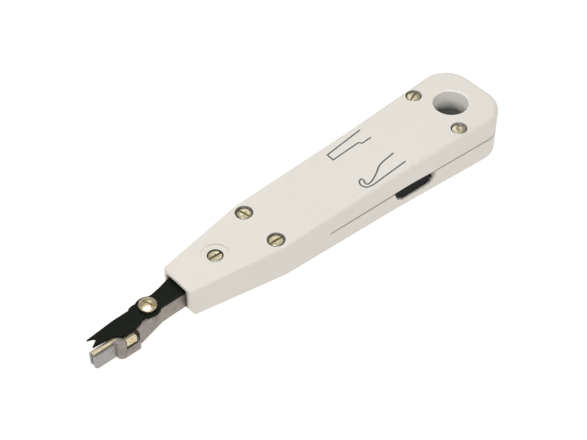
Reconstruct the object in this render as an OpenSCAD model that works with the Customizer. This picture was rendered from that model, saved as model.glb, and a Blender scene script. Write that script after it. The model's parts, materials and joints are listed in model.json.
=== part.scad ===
// Insertion tool for wiring strips: a spring-loaded head with a wire fork and scissors,
// and two fold-out tools that store in slots between the casing halves.
// Origin: axis of the hanging hole on the parting plane. +X runs from the head to the tail,
// +Z comes out of the face that carries the screw heads. Units are millimetres.

/* [Casing] */
// Distance from the hanging hole to the nose end
nose_len = 126.5; // [124:0.5:130]
// Distance from the hanging hole to the tail end
tail_len = 14.4; // [13.5:0.1:16]
// Half width at the nose
nose_half_w = 7.45; // [7.3:0.05:8]
// Half width where the nose taper meets the grip
kink_half_w = 13.1; // [12.8:0.1:14]
// Distance from the hanging hole to that kink
kink_len = 90.5; // [89:0.5:92]
// Distance from the hanging hole to the place where the grip starts to flare
flare_len = 38; // [30:1:45]
// Half width where the flare starts
flare_half_w = 14.35; // [14.2:0.05:14.5]
// Half width at the tail
tail_half_w = 16.4; // [16:0.1:17]
// Half thickness at the nose
nose_half_t = 6.3; // [6.2:0.05:6.8]
// Half thickness at the tail
tail_half_t = 10.19; // [10:0.01:11]
// Radius of the tail's corners
tail_corner_r = 9; // [8:0.1:9.5]
// Radius of the nose's corners
nose_corner_r = 1.5; // [1:0.1:2]
// Wall thickness of the hollow parts
wall = 2; // [1.6:0.1:2.2]
// Radius of the hanging hole
hang_r = 6.5; // [5.5:0.1:6.8]

/* [Screws] */
// Place of the single nose screw along X
nose_screw_x = -110.1; // [-110.5:0.1:-109.5]
// Place of the pair of grip screws along X
grip_screw_x = -90.7; // [-91:0.1:-90]
// Distance of the grip screws from the middle
grip_screw_y = 8.35; // [8.2:0.05:8.6]
// Place of the pair of tail screws along X
tail_screw_x = -7.5; // [-8:0.1:-7]
// Distance of the tail screws from the middle
tail_screw_y = 11.56; // [11.4:0.02:11.7]
// Radius of a screw's head
head_r = 2.5; // [2.3:0.05:2.6]
// Height of a screw's head
head_h = 1.3; // [1.2:0.05:1.3]
// Depth of the heads below the face
head_sink = 0.4; // [0.3:0.05:0.4]
// Radius of a screw's thread
thread_r = 1.25; // [1.1:0.05:1.3]

/* [Head] */
// Stroke of the spring-loaded head
stroke = 6; // [4:0.5:6]
// Half width of the head's shank
shank_half_w = 4.1; // [4:0.05:4.1]
// Lowest face of the shank
shank_bottom = -3.4; // [-3.4:0.1:-3]
// Top face of the head block, which the blade slides on
block_top = 3.15; // [3:0.05:3.15]
// Lowest face of the foot
foot_bottom = -4.2; // [-4.4:0.1:-4]
// Place of the rear end of the shank
shank_rear_x = -92; // [-93:0.5:-92]
// Place of the front of the foot
foot_front_x = -156.6; // [-157:0.1:-156]
// Outer face of the foot on the fork's side
foot_side_y = -8; // [-8.2:0.1:-7.8]

/* [Fork and sensor] */
// Place of the fork's tips
fork_tip_x = -163.8; // [-165:0.1:-163.5]
// Middle of the fork's slot
fork_mid_y = -4.2; // [-4.3:0.05:-4.1]
// Width of the fork's slot
fork_gap = 0.7; // [0.6:0.05:0.8]
// Top of the prongs
fork_top = 1.85; // [1.6:0.05:1.85]
// Travel of the wire sensor
sensor_travel = 1.2; // [0.8:0.1:1.2]

/* [Scissors] */
// Place of the scissor pivot
pivot = [-139.2, -1.3];
// Radius of the pivot's shoulder
shoulder_r = 2; // [1.8:0.1:2]
// Thickness of the blade
blade_t = 0.78; // [0.7:0.02:0.8]
// Closing angle of the blade at full stroke, in degrees
close_angle = 6; // [4:0.5:6]

/* [Fold-out tools] */
// Length from the pivot to the tip
tool_len = 60.5; // [58:0.5:61]
// Thickness of the tool plates
tool_t = 0.5; // [0.5:0.02:0.54]
// Width of the slot that they lie in
tool_slot = 0.6; // [0.6:0.02:0.7]

/* [Hidden] */
$fn = 64;

// Casing outline
taper = (tail_half_t - nose_half_t) / (nose_len + tail_len);
tail_round_x = tail_len - tail_corner_r;
far = 40;

// Nose mouth, shank channel and blade space
mouth_half_w = 4.9;
mouth_depth = 3.5;
mouth_bottom = -3.6;
inner_top = 5;
channel_half_w = 4.2;
channel_bottom = -3.5;
channel_top = 3.3;
channel_front_x = -nose_len + 3;
channel_rear_x = shank_rear_x + stroke + 0.5;
blade_space_half_w = 6.2;
blade_space_bottom = 3;
blade_space_front_x = -124.5;
blade_space_rear_x = -104;
boss_r = 3;

// Hollows of the grip: front x, rear x, inner y and outer y
middle_pocket = [-39.5, -10.5, -5.8, 5.8];
side_pockets = [[-66, -16, 8, 13], [-86.5, -72.5, 6.3, 11.1]];

// Main spring, its rod and its seat
spring_bore_r = 4.6;
seat_front_x = -44;
seat_rear_x = -41.5;
seat_r = 5.5;
washer_t = 0.8;
rod_r = 1.5;
rod_depth = 5;
rod_end_x = -54;
spring_mid_r = 3.7;
spring_wire_r = 0.55;
spring_turns = 11;

// Screw slots: their width and where each one points
slot_w = 0.7;
nose_slot_turn = -4;
grip_slot_turns = [-4, -76];
tail_slot_turns = [49, 20];
pivot_slot_turn = -67;

// Screw fittings
counterbore_r = head_r + 0.45;
clearance_r = 1.4;
insert_r = 2;
insert_floor = 1;
sleeve_r = 2;
bush_r = 2.2;
bush_half_h = 3;
washer_r = 3.3;
tool_washer_t = 0.4;

// Finger recess beside each fold-out tool's thumb tab
recess_front_x = -40.9;
recess_rear_x = -22;
recess_depth = 4.9;
recess_r = 3;

// Tool slot
slot_front_x = -70.5;
slot_inner_y = 7.7;

// Scissor blade and cam
blade_bottom = block_top + 0.07;
blade_top = blade_bottom + blade_t;
boss_blade_r = 4.4;
arm_rear_x = -120.2;
follower = [-121.5, -3.5];
follower_r = 0.9;
cam_bottom = blade_top + 0.1;
cam_gap = 0.12;
arm = follower - pivot;
arm_closed = [
    arm[0] * cos(close_angle) - arm[1] * sin(close_angle),
    arm[0] * sin(close_angle) + arm[1] * cos(close_angle)
];
follower_end = pivot + [stroke, 0] + arm_closed;
cam_dir = (follower_end - follower) / norm(follower_end - follower);
cam_normal = [cam_dir[1], -cam_dir[0]];
cam_face = follower + cam_normal * (follower_r + cam_gap);
cam_front_x = -122.5;
cam_rear_x = -113.8;
cam_wall_y = -6.2;
peg_r = 0.6;
pegs = [[-117.4, -5.2], [-115, -5.2]];

// Sensor bar, its plate and its spring
bar_side_y = -5.05;
bar_inner_y = -3.75;
bar_bottom = 1.9;
bar_top = 3.1;
bar_tail_x = -149.5;
plate_front_x = -152.6;
plate_rear_x = -148.6;
plate_side_y = -7.7;
rivet = [-150.6, 1.7];
rivet_r = 0.5;
rivet_head_r = 0.9;
notch_front_x = -153;
notch_rear_x = -147.3;
notch_bottom = -0.6;
fork_half_w = 1.55;
fork_bottom = -4;
fork_root_x = -153.6;
fork_slot_end_x = -157.5;
fork_pin_x = -155.2;
fork_pin_r = 0.7;
small_spring_y = -4.4;
small_spring_z = 2.2;
small_spring_end_x = -145.5;
small_spring_bore_r = 0.75;
leaf_pin = [-118.4, 3.3];
leaf_pin_r = 0.5;
leaf_eye_r = 0.7;

function direction(a, b) = atan2(b[1] - a[1], b[0] - a[0]);
function half_t(x) = nose_half_t + (x + nose_len) * taper;
function cam_y(x) = cam_face[1] + (x - cam_face[0]) * cam_dir[1] / cam_dir[0];
function screw_top(x) = half_t(x) - head_sink;
function insert_base(x) = -half_t(x) + insert_floor;

// A block given by its lowest and highest corners
module block(low, high) {
    translate(low) cube(high - low);
}

// A round bar along X
module bar_x(x0, x1, r, y = 0, z = 0) {
    translate([x0, y, z]) rotate([0, 90, 0]) cylinder(h = x1 - x0, r = r);
}

// An outline in XZ made a solid between two Y values
module along_y(y0, y1) {
    translate([0, y1, 0]) rotate([90, 0, 0]) linear_extrude(y1 - y0) children();
}

// A flat ring or tube standing on z0
module tube(r_out, r_in, z0, z1) {
    translate([0, 0, z0]) difference() {
        cylinder(h = z1 - z0, r = r_out);
        translate([0, 0, -1]) cylinder(h = z1 - z0 + 2, r = r_in);
    }
}

// A coil of round wire along X, swept as rings of eight points
module coil(x0, x1, mid_r, wire_r, turns, steps = 16, sides = 8) {
    n = turns * steps;
    points = [
        for (i = [0 : n], j = [0 : sides - 1])
            let (a = 360 * i / steps, b = 360 * j / sides, r = mid_r + wire_r * cos(b))
                [x0 + wire_r + (x1 - x0 - 2 * wire_r) * i / n + wire_r * sin(b), r * cos(a), r * sin(a)]
    ];
    walls = [
        for (i = [0 : n - 1], j = [0 : sides - 1])
            let (k = (j + 1) % sides)
                [i * sides + j, i * sides + k, (i + 1) * sides + k, (i + 1) * sides + j]
    ];
    ends = [
        [for (j = [sides - 1 : -1 : 0]) j],
        [for (j = [0 : sides - 1]) n * sides + j]
    ];
    polyhedron(points = points, faces = concat(walls, ends), convexity = 10);
}

// Half of the casing outline seen from above, drawn in by the inset
function casing_side(inset) =
    let (
        kink = [-kink_len, kink_half_w - inset],
        flare = [-flare_len, flare_half_w - inset],
        front = [-nose_len + nose_corner_r, nose_half_w - nose_corner_r] + [inset, -inset],
        rear = [tail_round_x, tail_half_w - tail_corner_r],
        front_r = nose_corner_r,
        rear_r = tail_corner_r - inset,
        front_turn = direction(front, kink) - asin(front_r / norm(kink - front)),
        rear_turn = direction(flare, rear) + asin(rear_r / norm(flare - rear))
    ) [
        front + [-front_r, 0], front + front_r * [-sin(front_turn), cos(front_turn)], kink, flare,
        rear + rear_r * [-sin(rear_turn), cos(rear_turn)], rear + [rear_r, 0]
    ];

// The whole wedge-shaped casing as a solid, drawn in by the inset
module wedge(inset = 0) {
    side = casing_side(inset);
    x0 = -nose_len - 5;
    x1 = tail_len + 5;
    intersection() {
        translate([0, 0, -far / 2]) union() {
            linear_extrude(far)
                polygon(concat(side, [for (i = [len(side) - 1 : -1 : 0]) [side[i][0], -side[i][1]]]));
            for (s = [-1, 1]) {
                translate([tail_round_x, s * side[5][1], 0]) cylinder(h = far, r = tail_corner_r - inset);
                translate([side[0][0] + nose_corner_r, s * side[0][1], 0])
                    cylinder(h = far, r = nose_corner_r);
            }
        }
        along_y(-far, far) polygon([
            [x0, half_t(x0) - inset], [x1, half_t(x1) - inset],
            [x1, -half_t(x1) + inset], [x0, -half_t(x0) + inset]
        ]);
    }
}

// Space for the head: mouth, shank channel, blade space, spring bore and seat groove
module head_spaces() {
    block([-nose_len - 1, -mouth_half_w, mouth_bottom], [-nose_len + mouth_depth, mouth_half_w, inner_top]);
    block(
        [channel_front_x, -channel_half_w, channel_bottom],
        [channel_rear_x, channel_half_w, channel_top]
    );
    difference() {
        block(
            [blade_space_front_x, -blade_space_half_w, blade_space_bottom],
            [blade_space_rear_x, blade_space_half_w, inner_top]
        );
        translate([nose_screw_x, 0, 0]) cylinder(h = far, r = boss_r);
        for (p = pegs) translate([p[0], p[1], 0]) cylinder(h = far, r = peg_r);
    }
    bar_x(shank_rear_x - 1, seat_front_x + 0.5, spring_bore_r);
    bar_x(seat_front_x, seat_rear_x, seat_r);
}

// A straight-sided hollow given by its front x, rear x, inner y and outer y
module pocket(p) {
    block([p[0], p[2], -far], [p[1], p[3], far]);
}

// Hollows that lighten the grip
module pockets() {
    intersection() {
        wedge(wall);
        union() {
            pocket(middle_pocket);
            for (p = side_pockets) {
                pocket(p);
                mirror([0, 1, 0]) pocket(p);
            }
        }
    }
}

// Slots at the parting plane that the fold-out tools lie and swing in
module tool_slots() {
    for (s = [-1, 1]) {
        y = s * (slot_inner_y + far / 2);
        block([slot_front_x, y - far / 2, -tool_slot / 2], [tail_len + 1, y + far / 2, tool_slot / 2]);
        translate([tail_screw_x, s * tail_screw_y, -bush_half_h]) cylinder(h = 2 * bush_half_h, r = bush_r);
        translate([tail_screw_x, s * tail_screw_y, tool_slot / 2 - 0.1])
            cylinder(h = tool_washer_t + 0.05, r = washer_r + 0.2);
    }
}

module at_grip_screws() {
    for (s = [-1, 1]) translate([grip_screw_x, s * grip_screw_y, 0]) children();
}

module at_tail_screws() {
    for (s = [-1, 1]) translate([tail_screw_x, s * tail_screw_y, 0]) children();
}

// Clearance hole and counterbore for a screw at x
module screw_hole(x, bore_r = counterbore_r) {
    cylinder(h = far, r = clearance_r);
    translate([0, 0, screw_top(x) - head_h]) cylinder(h = far, r = bore_r);
}

module upper_casing() {
    color("#e4e1da") difference() {
        intersection() {
            wedge();
            block([-far * 5, -far, 0], [far, far, far]);
        }
        head_spaces();
        pockets();
        tool_slots();
        cylinder(h = far, r = hang_r, center = true);
        translate([nose_screw_x, 0, 0]) screw_hole(nose_screw_x, head_r + 0.1);
        translate([nose_screw_x, 0, half_t(nose_screw_x) - 0.3]) cylinder(h = far, r = 5);
        at_grip_screws() screw_hole(grip_screw_x, counterbore_r + 0.2);
        at_tail_screws() screw_hole(tail_screw_x);
    }
}

// Opening in the side wall where a finger reaches a thumb tab
module finger_recess() {
    round_x = recess_rear_x - recess_r;
    along_y(-far, far) polygon([
        [recess_front_x, 1], [recess_front_x, 0], [recess_front_x + 1.3, -recess_depth + 1.5],
        [recess_front_x + 3.9, -recess_depth], [round_x, -recess_depth],
        [recess_rear_x, -recess_depth + recess_r], [recess_rear_x, 1]
    ]);
    along_y(-far, far) translate([round_x, -recess_depth + recess_r]) circle(r = recess_r);
}

module lower_casing() {
    color("#e4e1da") difference() {
        intersection() {
            wedge();
            block([-far * 5, -far, -far], [far, far, 0]);
        }
        head_spaces();
        pockets();
        tool_slots();
        cylinder(h = far, r = hang_r, center = true);
        difference() {
            finger_recess();
            block([-far * 2, -9, -far], [0, 9, far]);
        }
        translate([nose_screw_x, 0, insert_base(nose_screw_x)]) cylinder(h = far, r = insert_r);
        at_grip_screws() translate([0, 0, insert_base(grip_screw_x)]) cylinder(h = far, r = insert_r);
        at_tail_screws() translate([0, 0, insert_base(tail_screw_x)]) cylinder(h = far, r = insert_r);
    }
}

// A slotted cheese-head screw with its head's top at z_top and its end at z_end
module slotted_screw(z_top, z_end, turn) {
    difference() {
        union() {
            translate([0, 0, z_top - head_h]) cylinder(h = head_h, r = head_r);
            translate([0, 0, z_end]) cylinder(h = z_top - head_h - z_end + 0.1, r = thread_r);
        }
        rotate([0, 0, turn]) block([-far, -slot_w / 2, z_top - 0.7], [far, slot_w / 2, z_top + 1]);
    }
}

module nose_screw() {
    color("#c9b878") translate([nose_screw_x, 0, 0])
        slotted_screw(screw_top(nose_screw_x), insert_base(nose_screw_x) + 0.2, nose_slot_turn);
}

module grip_screws() {
    color("#c9b878") for (i = [0, 1]) translate([grip_screw_x, (2 * i - 1) * grip_screw_y, 0])
        slotted_screw(screw_top(grip_screw_x), insert_base(grip_screw_x) + 0.4, grip_slot_turns[i]);
}

module tail_screws() {
    color("#c9b878") for (i = [0, 1]) translate([tail_screw_x, (2 * i - 1) * tail_screw_y, 0])
        slotted_screw(screw_top(tail_screw_x), insert_base(tail_screw_x) + 0.4, tail_slot_turns[i]);
}

// Threaded brass inserts that the five screws pull against
module threaded_inserts() {
    color("#b9a25a") {
        translate([nose_screw_x, 0, 0])
            tube(insert_r, thread_r, insert_base(nose_screw_x), channel_bottom);
        at_grip_screws() tube(insert_r, thread_r, insert_base(grip_screw_x), -1);
        at_tail_screws() tube(insert_r, thread_r, insert_base(tail_screw_x), -bush_half_h);
    }
}

// Steel sleeve on the nose screw that guides the shank and stops its stroke
module guide_sleeve() {
    color("#9a9c9e") translate([nose_screw_x, 0, 0])
        tube(sleeve_r, thread_r + 0.1, channel_bottom, channel_top);
}

// Fixed plate whose sloping edge swings the scissor arm as the head goes in
module cam_plate() {
    color("#8e9093") difference() {
        translate([0, 0, cam_bottom]) linear_extrude(inner_top - cam_bottom) polygon([
            [cam_front_x, cam_wall_y], [cam_rear_x, cam_wall_y],
            [cam_rear_x, cam_y(cam_rear_x)], [cam_front_x, cam_y(cam_front_x)]
        ]);
        for (p = pegs) translate([p[0], p[1], 0]) cylinder(h = far, r = peg_r);
    }
}

module spring_seat() {
    color("#9a9c9e") {
        bar_x(seat_front_x, seat_rear_x, seat_r);
        bar_x(seat_front_x - 3, seat_front_x + 0.1, spring_mid_r - spring_wire_r - 0.4);
    }
}

module main_spring() {
    color("#a9abad") coil(shank_rear_x + washer_t, seat_front_x, spring_mid_r, spring_wire_r, spring_turns);
}

module pivot_bush() {
    tube(bush_r, thread_r + 0.1, -bush_half_h, bush_half_h);
}

module hook_bush() {
    color("#b9a25a") translate([tail_screw_x, -tail_screw_y, 0]) pivot_bush();
}

module spudger_bush() {
    color("#b9a25a") translate([tail_screw_x, tail_screw_y, 0]) pivot_bush();
}

module tool_washer() {
    tube(washer_r, bush_r, tool_slot / 2 - 0.05, tool_slot / 2 - 0.05 + tool_washer_t);
}

module hook_washer() {
    color("#a9abad") translate([tail_screw_x, -tail_screw_y, 0]) tool_washer();
}

module spudger_washer() {
    color("#a9abad") translate([tail_screw_x, tail_screw_y, 0]) tool_washer();
}

// Head block as seen from above, with a square edge all round
module block_prism() {
    corner_r = 2.3;
    foot_round_x = -153.5;
    translate([0, 0, -far / 2]) union() {
        linear_extrude(far) polygon([
            [shank_rear_x, -shank_half_w], [-136, -shank_half_w], [-146.5, -6.5],
            [-147.6, foot_side_y + 0.1], [-148.2, foot_side_y], [foot_round_x, foot_side_y],
            [foot_round_x - corner_r, foot_side_y + corner_r], [foot_front_x, -5], [foot_front_x, -2.4],
            [-153.8, -0.4], [-151.5, 0.9], [-145, 1.3], [-143, 2], [-135.2, 2], [-131.4, 3],
            [-127, shank_half_w], [shank_rear_x, shank_half_w]
        ]);
        translate([foot_round_x, foot_side_y + corner_r, 0]) cylinder(h = far, r = corner_r);
        translate([pivot[0], pivot[1], 0]) cylinder(h = far, r = 3.1);
    }
}

// Space in the block for the fork, the sensor and the sensor's spring
module sensor_spaces() {
    block(
        [foot_front_x - 1, fork_mid_y - fork_half_w, fork_bottom],
        [fork_root_x, fork_mid_y + fork_half_w, fork_top]
    );
    block(
        [foot_front_x - 1, bar_side_y - 0.1, fork_top - 0.05],
        [bar_tail_x + 1.9, bar_inner_y + 0.1, far]
    );
    block([notch_front_x, foot_side_y - 1, notch_bottom], [notch_rear_x, bar_side_y, far]);
    bar_x(bar_tail_x - 0.1, small_spring_end_x, small_spring_bore_r, small_spring_y, small_spring_z);
}

module head_block() {
    color("#a59e96") difference() {
        intersection() {
            block_prism();
            along_y(-far, far) polygon([
                [shank_rear_x, shank_bottom], [-130, shank_bottom], [-146, foot_bottom],
                [foot_front_x + 1.2, foot_bottom], [foot_front_x, foot_bottom + 1.2],
                [foot_front_x, block_top], [shank_rear_x, block_top]
            ]);
        }
        sensor_spaces();
        translate([nose_screw_x - stroke - 0.1, 0, -far / 2]) cylinder(h = far, r = sleeve_r + 0.05);
        translate([nose_screw_x, 0, -far / 2]) cylinder(h = far, r = sleeve_r + 0.05);
        block([nose_screw_x - stroke - 0.1, -sleeve_r - 0.05, -far], [nose_screw_x, sleeve_r + 0.05, far]);
        bar_x(shank_rear_x - rod_depth, shank_rear_x + 1, rod_r);
        translate([pivot[0], pivot[1], -far / 2]) cylinder(h = far, r = rod_r);
        translate([pivot[0], pivot[1], -far - 2.4]) cylinder(h = far, r = 2.8);
        translate([fork_pin_x, fork_mid_y, -far]) cylinder(h = far, r = fork_pin_r);
        translate([leaf_pin[0], leaf_pin[1], block_top - 3]) cylinder(h = far, r = leaf_pin_r);
    }
}

// Two-pronged steel fork that presses the wire into the terminal
module insertion_fork() {
    color("#9c9894") difference() {
        intersection() {
            block(
                [fork_tip_x, fork_mid_y - fork_half_w, fork_bottom],
                [fork_root_x, fork_mid_y + fork_half_w, fork_top]
            );
            along_y(-far, far) polygon([
                [fork_tip_x, fork_bottom + 0.8], [fork_tip_x + 0.8, fork_bottom],
                [fork_root_x, fork_bottom], [fork_root_x, fork_top], [fork_tip_x, fork_top]
            ]);
        }
        block(
            [fork_tip_x - 1, fork_mid_y - fork_gap / 2, -far],
            [fork_slot_end_x, fork_mid_y + fork_gap / 2, far]
        );
        translate([fork_pin_x, fork_mid_y, -far]) cylinder(h = far, r = fork_pin_r);
    }
}

module fork_pin() {
    color("#a9abad") translate([fork_pin_x, fork_mid_y, foot_bottom + 0.1])
        cylinder(h = -foot_bottom - 0.1, r = fork_pin_r);
}

// Large slotted screw whose shoulder carries the scissor blade
module pivot_screw() {
    washer_top = blade_top + 0.25;
    big_head_h = 1.75;
    big_head_r = 3.1;
    dome_r = 6.2;
    color("#cdbf86") translate([pivot[0], pivot[1], 0]) difference() {
        union() {
            translate([0, 0, foot_bottom + 0.3]) cylinder(h = block_top - foot_bottom, r = rod_r);
            translate([0, 0, block_top]) cylinder(h = washer_top - block_top, r = shoulder_r);
            intersection() {
                translate([0, 0, washer_top]) cylinder(h = big_head_h, r = big_head_r);
                translate([0, 0, washer_top + big_head_h - dome_r]) sphere(r = dome_r);
            }
        }
        rotate([0, 0, pivot_slot_turn])
            block([-far, -slot_w / 2, washer_top + big_head_h - 0.85], [far, slot_w / 2, far]);
    }
}

module pivot_washer() {
    color("#a9abad") translate([pivot[0], pivot[1], 0])
        tube(2.9, shoulder_r, blade_top + 0.05, blade_top + 0.25);
}

module pivot_nut() {
    color("#b9a25a") translate([pivot[0], pivot[1], 0]) difference() {
        translate([0, 0, foot_bottom + 0.3]) cylinder(h = 1.5, r = 2.7, $fn = 6);
        translate([0, 0, -far / 2]) cylinder(h = far, r = rod_r);
    }
}

module spring_rod() {
    color("#a9abad") bar_x(shank_rear_x - rod_depth, rod_end_x, rod_r);
}

module thrust_washer() {
    color("#b9a25a") difference() {
        bar_x(shank_rear_x, shank_rear_x + washer_t, 4.1);
        bar_x(shank_rear_x - 1, shank_rear_x + 2, rod_r);
    }
}

// Leaf that swings the scissor blade open again
module blade_spring() {
    color("#a9abad") translate([0, 0, blade_bottom + 0.05]) linear_extrude(blade_t - 0.1) difference() {
        union() {
            translate(leaf_pin) circle(r = leaf_eye_r);
            polygon([
                leaf_pin + [0, leaf_eye_r], leaf_pin + [-5.4, 0.9], leaf_pin + [-5.4, 0.6],
                leaf_pin + [0, leaf_eye_r - 0.3]
            ]);
        }
        translate(leaf_pin) circle(r = leaf_pin_r);
    }
}

module blade_spring_pin() {
    color("#b9a25a") translate([leaf_pin[0], leaf_pin[1], block_top - 2.9])
        cylinder(h = 2.9 + blade_top - block_top, r = leaf_pin_r);
}

module sensor_spring() {
    color("#a9abad") translate([0, small_spring_y, small_spring_z])
        coil(bar_tail_x, small_spring_end_x, 0.5, 0.12, 6, 12, 6);
}

// Scissor blade outline, open, seen from above
module blade_plan() {
    polygon([
        [arm_rear_x, 2.5], [-126.8, 4.1], [-131.2, 2.9], [-135, 2.1], [-143, 2.4], [-144.4, 2.1],
        [-145.1, 1.5], [-151.5, 1.4], [-156.4, 0.9], [-162.3, 0.3], [-160.5, -0.35], [-159.9, -0.95],
        [-160.3, -1.7], [-162.5, -3.2], [-158.7, -3.55], [-154.6, -3.95], [-153, -5.7], [-147.5, -5.75],
        [-145.3, -5.2], [-144, -4.4], [-135.5, -4.4], [-127, -4.4], [-124.5, -4.2], [arm_rear_x, -3.5]
    ]);
    translate(follower) circle(r = 1.5);
    translate(pivot) circle(r = boss_blade_r);
}

module scissor_blade() {
    color("#2c302c") translate([0, 0, blade_bottom]) linear_extrude(blade_t) difference() {
        blade_plan();
        translate(pivot) circle(r = shoulder_r + 0.05);
        translate(follower) circle(r = follower_r);
    }
}

module cam_follower() {
    color("#a9abad") translate([follower[0], follower[1], blade_bottom])
        cylinder(h = inner_top - 0.1 - blade_bottom, r = follower_r);
}

// Brass sensor that lies on the fork and is pushed back by the wire
module wire_sensor() {
    tongue_half_w = 0.2;
    color("#d8c98a") {
        block([fork_tip_x + 0.3, bar_side_y, bar_bottom], [bar_tail_x, bar_inner_y, bar_top]);
        block(
            [fork_tip_x + 0.6, fork_mid_y - tongue_half_w, 0],
            [fork_tip_x + 3.3, fork_mid_y + tongue_half_w, bar_bottom]
        );
        difference() {
            block([plate_front_x, plate_side_y, 0.2], [plate_rear_x, bar_side_y, 2.65]);
            along_y(-far, 0) translate(rivet) circle(r = rivet_r);
        }
    }
}

module sensor_rivet() {
    color("#b9a25a") {
        along_y(plate_side_y - 0.2, plate_side_y) translate(rivet) circle(r = rivet_head_r);
        along_y(plate_side_y, bar_side_y) translate(rivet) circle(r = rivet_r);
    }
}

// Place a fold-out tool drawn with its pivot at the origin, its tip along +X and its outer edge at +Y
module stored_tool(side) {
    translate([tail_screw_x, side * tail_screw_y, 0]) scale([-1, side, 1]) children();
}

// Thumb tab bent down from the tool's outer edge
module thumb_tab(edge_y) {
    rotate([0, 0, -1.5]) along_y(edge_y + 0.35 - tool_t, edge_y + 0.35) polygon([
        [17, tool_t / 2], [17, -3.4], [18, -4.3], [29, -4.3], [31, -3], [32, -0.5], [32, tool_t / 2]
    ]);
}

module hook_tool() {
    tip_r = 2.3;
    tip = [tool_len - tip_r, -0.95];
    color("#35383a") stored_tool(-1) {
        linear_extrude(tool_t, center = true) difference() {
            union() {
                circle(r = washer_r);
                polygon([
                    [0, washer_r - 0.4], [tip[0], tip[1] + tip_r], [tip[0], tip[1] + 1], [44, -0.2],
                    [32, -1.6], [24, -2.9], [0, -washer_r]
                ]);
                difference() {
                    translate(tip) circle(r = tip_r);
                    translate(tip) circle(r = 1);
                    translate(tip - [far, far]) square([far, far + 1]);
                    translate(tip - [far, 0]) square([far, 1]);
                }
            }
            circle(r = bush_r + 0.05);
        }
        thumb_tab(washer_r - 0.4);
    }
}

module spudger_tool() {
    color("#35383a") stored_tool(1) {
        linear_extrude(tool_t, center = true) difference() {
            union() {
                circle(r = washer_r);
                polygon([
                    [0, washer_r - 0.4], [tool_len, 1.3], [tool_len - 1.5, -2], [22, -1.2], [19, -3.2],
                    [0, -washer_r]
                ]);
            }
            circle(r = bush_r + 0.05);
        }
        thumb_tab(washer_r - 0.4);
    }
}

upper_casing();
lower_casing();
nose_screw();
grip_screws();
tail_screws();
threaded_inserts();
guide_sleeve();
cam_plate();
spring_seat();
main_spring();
hook_bush();
spudger_bush();
hook_washer();
spudger_washer();
head_block();
insertion_fork();
fork_pin();
pivot_screw();
pivot_washer();
pivot_nut();
spring_rod();
thrust_washer();
blade_spring();
blade_spring_pin();
sensor_spring();
scissor_blade();
cam_follower();
wire_sensor();
sensor_rivet();
hook_tool();
spudger_tool();
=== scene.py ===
"""Looks of a punch down tool: a two-shell moulded grip, a sprung cast head with a wire fork and
scissors, and two fold-out tools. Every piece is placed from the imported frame, in metres."""

import json
import logging
import math
from dataclasses import dataclass, field
from enum import Enum
from typing import Callable, Iterable, Sequence, Union

import bmesh
import bpy
from mathutils import Euler, Matrix, Vector


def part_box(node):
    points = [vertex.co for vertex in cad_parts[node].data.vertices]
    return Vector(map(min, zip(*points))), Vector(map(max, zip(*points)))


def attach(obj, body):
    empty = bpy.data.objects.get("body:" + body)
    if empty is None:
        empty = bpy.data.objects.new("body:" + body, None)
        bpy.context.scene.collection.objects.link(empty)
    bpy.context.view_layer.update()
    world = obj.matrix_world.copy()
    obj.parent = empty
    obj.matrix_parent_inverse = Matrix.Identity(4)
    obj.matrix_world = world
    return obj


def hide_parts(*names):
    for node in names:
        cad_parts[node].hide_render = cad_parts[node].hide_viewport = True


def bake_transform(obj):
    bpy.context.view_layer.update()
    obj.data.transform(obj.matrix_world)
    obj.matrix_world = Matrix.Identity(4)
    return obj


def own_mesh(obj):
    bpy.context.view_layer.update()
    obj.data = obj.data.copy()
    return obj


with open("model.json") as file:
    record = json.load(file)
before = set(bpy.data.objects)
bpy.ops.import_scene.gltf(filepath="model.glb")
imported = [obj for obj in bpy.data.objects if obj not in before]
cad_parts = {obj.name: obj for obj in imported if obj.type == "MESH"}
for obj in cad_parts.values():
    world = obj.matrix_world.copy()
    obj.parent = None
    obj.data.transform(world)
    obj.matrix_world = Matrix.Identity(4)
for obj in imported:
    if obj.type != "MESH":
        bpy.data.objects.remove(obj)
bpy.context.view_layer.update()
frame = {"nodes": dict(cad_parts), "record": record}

MM = 0.001
log = logging.getLogger("punch_down_tool")


# --------------------------------------------------------------------------- shader maths

Number = Union[float, "Value"]


@dataclass(frozen=True)
class Value:
    """An output socket of a shader node that adds Math nodes when it is calculated with."""

    graph: "Graph"
    out: bpy.types.NodeSocket

    def _math(self, operation: str, first: Number, second: Number = 0.0) -> "Value":
        """Add one Math node and return its result."""
        return self.graph.node("ShaderNodeMath", {"operation": operation}, {0: first, 1: second})

    def __add__(self, other: Number) -> "Value":
        """Sum."""
        return self._math("ADD", self, other)

    def __radd__(self, other: Number) -> "Value":
        """Sum, reflected."""
        return self._math("ADD", other, self)

    def __sub__(self, other: Number) -> "Value":
        """Difference."""
        return self._math("SUBTRACT", self, other)

    def __rsub__(self, other: Number) -> "Value":
        """Difference, reflected."""
        return self._math("SUBTRACT", other, self)

    def __mul__(self, other: Number) -> "Value":
        """Product."""
        return self._math("MULTIPLY", self, other)

    def __rmul__(self, other: Number) -> "Value":
        """Product, reflected."""
        return self._math("MULTIPLY", other, self)

    def __truediv__(self, other: Number) -> "Value":
        """Quotient."""
        return self._math("DIVIDE", self, other)

    def __pow__(self, other: Number) -> "Value":
        """Power."""
        return self._math("POWER", self, other)

    def above(self, level: Number) -> "Value":
        """One where the value is above the level, and zero elsewhere."""
        return self._math("GREATER_THAN", self, level)

    def clamped(self) -> "Value":
        """The value held between 0 and 1."""
        return self._math("MINIMUM", self._math("MAXIMUM", self, 0.0), 1.0)


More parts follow.
